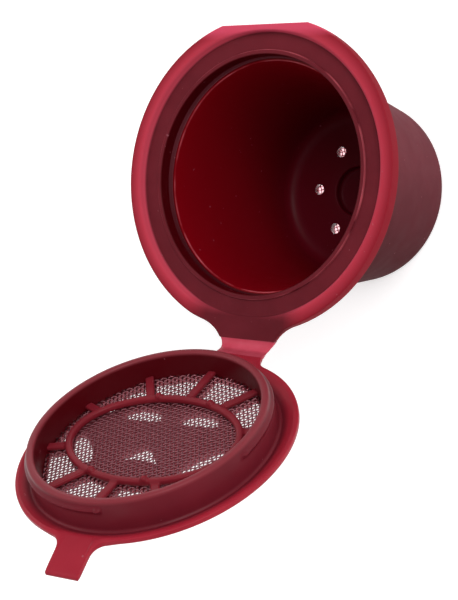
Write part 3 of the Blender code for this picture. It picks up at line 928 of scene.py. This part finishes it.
def make_grid():
    """The lid's perforated grid, with rounded window edges."""
    curve = bpy.data.curves.new("lid_grid", "CURVE")
    curve.dimensions = "2D"
    curve.fill_mode = "BOTH"
    curve.extrude = (GRID_OUTER - GRID_INNER) / 2 - GRID_BEVEL
    curve.bevel_depth = GRID_BEVEL
    curve.bevel_resolution = 2
    curve.offset = -GRID_BEVEL
    rim = oval_points(PLUG_IN_R + 0.15, PLUG_IN_R + 0.15, 128)
    windows = [window_outline(90 + SPOKE_STEP * (i + 0.5)) for i in range(SPOKES)]
    outlines = [rim] + [turned_outline(o, -PATTERN_TURN) for o in windows]
    outlines += [turned_outline(o, -PETAL_TURN) for o in petal_outlines()]
    for outline in outlines:
        spline = curve.splines.new("POLY")
        spline.points.add(len(outline) - 1)
        for point, (x, y) in zip(spline.points, outline):
            point.co = (x, y, 0, 1)
        spline.use_cyclic_u = True
    guide = bpy.data.objects.new("lid_grid_guide", curve)
    bpy.context.scene.collection.objects.link(guide)
    bpy.context.view_layer.update()
    mesh = bpy.data.meshes.new_from_object(guide.evaluated_get(bpy.context.evaluated_depsgraph_get()))
    bpy.data.objects.remove(guide)
    middle = Matrix.Translation((0, 0, (GRID_OUTER + GRID_INNER) / 2))
    mesh.transform(LID_PLACE @ Matrix.Scale(MM, 4) @ middle)
    welded = bmesh.new()
    welded.from_mesh(mesh)
    bmesh.ops.remove_doubles(welded, verts=welded.verts, dist=0.000002)
    bmesh.ops.recalc_face_normals(welded, faces=welded.faces)
    welded.to_mesh(mesh)
    welded.free()
    mesh.materials.clear()
    mesh.materials.append(GRID_RED)
    mesh.shade_smooth()
    mesh.set_sharp_from_angle(angle=math.radians(35))
    grid = bpy.data.objects.new("lid_grid", mesh)
    bpy.context.scene.collection.objects.link(grid)
    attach(grid, "lid")


def tube_ring(points, width, height, centre_z, sides=10):
    """Vertices and faces of a closed bar of rounded section along a closed path in XY."""
    count = len(points)
    vertices, faces = [], []
    for i, (x, y) in enumerate(points):
        ax, ay = points[(i + 1) % count]
        bx, by = points[i - 1]
        normal = Vector((ay - by, bx - ax)).normalized()
        for k in range(sides):
            turn = 2 * math.pi * k / sides
            c, s = math.cos(turn), math.sin(turn)
            off = width / 2 * math.copysign(abs(c) ** 0.6, c)
            up = height / 2 * math.copysign(abs(s) ** 0.6, s)
            vertices.append((x + normal.x * off, y + normal.y * off, centre_z + up))
    for i in range(count):
        j = (i + 1) % count
        for k in range(sides):
            m = (k + 1) % sides
            faces.append((i * sides + k, i * sides + m, j * sides + m, j * sides + k))
    return vertices, faces


def make_retainer():
    """Oval rib, spokes and stake heads, melted into one moulded form by a remesh."""
    low, high = GRID_INNER - RETAINER_TOP, GRID_INNER - RETAINER_LOW
    middle, height = (low + high) / 2, low - high
    shape = bmesh.new()

    def add(vertices, faces):
        made = [shape.verts.new(v) for v in vertices]
        for face in faces:
            shape.faces.new([made[i] for i in face])

    add(*tube_ring(oval_points(RIB_X, RIB_Y, 160), RIB_W, height, middle))
    for i in range(SPOKES):
        angle = math.radians(90 + SPOKE_STEP * i)
        inner = oval_radius(angle, RIB_X, RIB_Y)
        outer = PLUG_IN_R + 0.12
        size = Matrix.Diagonal((outer - inner, SPOKE_W, height * SPOKE_SHARE, 1))
        place = Matrix.Translation(((inner + outer) / 2, 0, middle + height * SPOKE_SET))
        at = Matrix.Rotation(angle, 4, "Z") @ place
        bmesh.ops.create_cube(shape, size=1.0, matrix=at @ size)
    for degrees in STAKES:
        angle = math.radians(degrees)
        radius = oval_radius(angle, RIB_X, RIB_Y)
        at = Matrix.Translation((radius * math.cos(angle), radius * math.sin(angle), high + 0.06))
        bmesh.ops.create_uvsphere(shape, u_segments=14, v_segments=8, radius=STAKE_R, matrix=at)
    bmesh.ops.recalc_face_normals(shape, faces=shape.faces)
    mesh = bpy.data.meshes.new("mesh_retainer_ring")
    shape.to_mesh(mesh)
    shape.free()
    mesh.transform(Matrix.Rotation(-math.radians(PATTERN_TURN), 4, "Z"))
    ring = bpy.data.objects.new("mesh_retainer_ring", mesh)
    bpy.context.scene.collection.objects.link(ring)
    remesh = ring.modifiers.new("Melt", "REMESH")
    remesh.mode = "VOXEL"
    remesh.voxel_size = 0.11
    smooth = ring.modifiers.new("Soften", "SMOOTH")
    smooth.factor = 0.5
    smooth.iterations = 3
    apply_modifiers(ring)
    ring.data.transform(LID_PLACE @ Matrix.Scale(MM, 4))
    ring.data.materials.clear()
    ring.data.materials.append(RETAINER_RED)
    ring.data.shade_smooth()
    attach(ring, "lid")
    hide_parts("mesh_retainer")


# ---------------------------------------------------------------- woven filters
def woven(name, outer_r, inner_r, level, place, turn_deg, node, body):
    """Plain-woven wire cloth: two sets of wires that pass over and under each other at each crossing."""
    sides = 6
    lines = int(outer_r / MESH_PITCH)
    vertices, faces = [], []
    for family in (0, 1):
        for j in range(-lines, lines + 1):
            offset = j * MESH_PITCH
            run = []
            for k in range(-lines - 1, lines + 2):
                along = k * MESH_PITCH
                distance = math.hypot(offset, along)
                if inner_r <= distance <= outer_r:
                    run.append(k)
                elif run:
                    wire(vertices, faces, run, offset, j, family, level, sides)
                    run = []
            wire(vertices, faces, run, offset, j, family, level, sides)
    turn = Matrix.Rotation(math.radians(turn_deg), 4, "Z")
    cloth = finish_mesh(name, vertices, faces, WIRE, place @ turn)
    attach(cloth, body)
    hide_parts(node)


def wire(vertices, faces, run, offset, line, family, level, sides):
    """Adds one wire that bends at each crossing of a run; a run of under three crossings is left out."""
    if len(run) < 3:
        return
    first = len(vertices)
    for k in run:
        up = MESH_WIRE_R * (1 if (k + line + family) % 2 else -1) * 0.95
        for s in range(sides):
            turn = 2 * math.pi * s / sides
            across = offset + MESH_WIRE_R * math.cos(turn)
            height = level + up + MESH_WIRE_R * math.sin(turn)
            point = (k * MESH_PITCH, across, height)
            vertices.append(point if family == 0 else (point[1], point[0], point[2]))
    for i in range(len(run) - 1):
        a, b = first + i * sides, first + (i + 1) * sides
        for s in range(sides):
            m = (s + 1) % sides
            quad = (a + s, b + s, b + m, a + m)
            faces.append(quad if family == 1 else quad[::-1])
    last = first + (len(run) - 1) * sides
    cap = tuple(first + s for s in range(sides))
    end = tuple(last + s for s in reversed(range(sides)))
    faces.append(cap if family == 1 else cap[::-1])
    faces.append(end if family == 1 else end[::-1])


def make_filters():
    """The lid's filter disc, and the base's ring of filter between the boss and the foot."""
    level = GRID_INNER - 0.2
    woven("lid_filter_cloth", PLUG_IN_R + 0.1, 0.0, level, LID_PLACE, MESH_TURN, "lid_mesh", "lid")
    level = TOP - FLOOR_DROP - FLOOR_T - 0.2
    place = Matrix.Identity(4)
    outer, inner = FOOT_IN_R - 0.35, BOSS_R + 0.35
    woven("base_filter_cloth", outer, inner, level, place, BASE_MESH_TURN, "base_mesh", "cup")


# ---------------------------------------------------------------- studio
def area_light(name, place, size, power):
    data = bpy.data.lights.new(name, "AREA")
    data.shape = "SQUARE"
    data.size = size
    data.energy = power
    light = bpy.data.objects.new(name, data)
    light.location = place
    light.rotation_euler = (Vector(LIGHTS_AIM) - Vector(place)).to_track_quat("-Z", "Y").to_euler()
    bpy.context.scene.collection.objects.link(light)


def make_floor():
    bpy.ops.mesh.primitive_plane_add(size=3.0, location=(0, 0, 0))
    floor = bpy.context.object
    floor.name = "studio_floor"
    floor.data.materials.append(floor_paint())


def make_world():
    world = bpy.data.worlds.new("studio")
    world.use_nodes = True
    background = world.node_tree.nodes["Background"]
    background.inputs["Color"].default_value = (1, 1, 1, 1)
    background.inputs["Strength"].default_value = WORLD_STRENGTH
    bpy.context.scene.world = world


def make_base_glow():
    """A small disk light under the cup, which shines up through the base filter and the drain holes."""
    glow = bpy.data.lights.new("base_glow", "AREA")
    glow.shape = "DISK"
    glow.size = BASE_GLOW_SIZE
    glow.energy = BASE_GLOW_POWER
    under = bpy.data.objects.new("base_glow", glow)
    under.location = (0, 0, BASE_GLOW_HEIGHT)
    under.rotation_euler = (math.pi, 0, 0)
    bpy.context.scene.collection.objects.link(under)


def make_studio():
    make_floor()
    make_world()
    for name, place, size, power in LIGHTS:
        area_light(name, place, size, power)
    make_base_glow()
    bpy.context.scene.view_settings.view_transform = "Standard"


def make_camera():
    data = bpy.data.cameras.new("camera")
    data.lens = CAMERA_LENS
    data.clip_start = 0.005
    camera = bpy.data.objects.new("camera", data)
    camera.location = CAMERA_AT
    camera.rotation_euler = [math.radians(angle) for angle in CAMERA_TURN_DEG]
    bpy.context.scene.collection.objects.link(camera)
    bpy.context.scene.camera = camera


make_camera()
make_cup()
make_hinge()
make_lid_shell()
make_grid()
make_retainer()
make_filters()
make_studio()
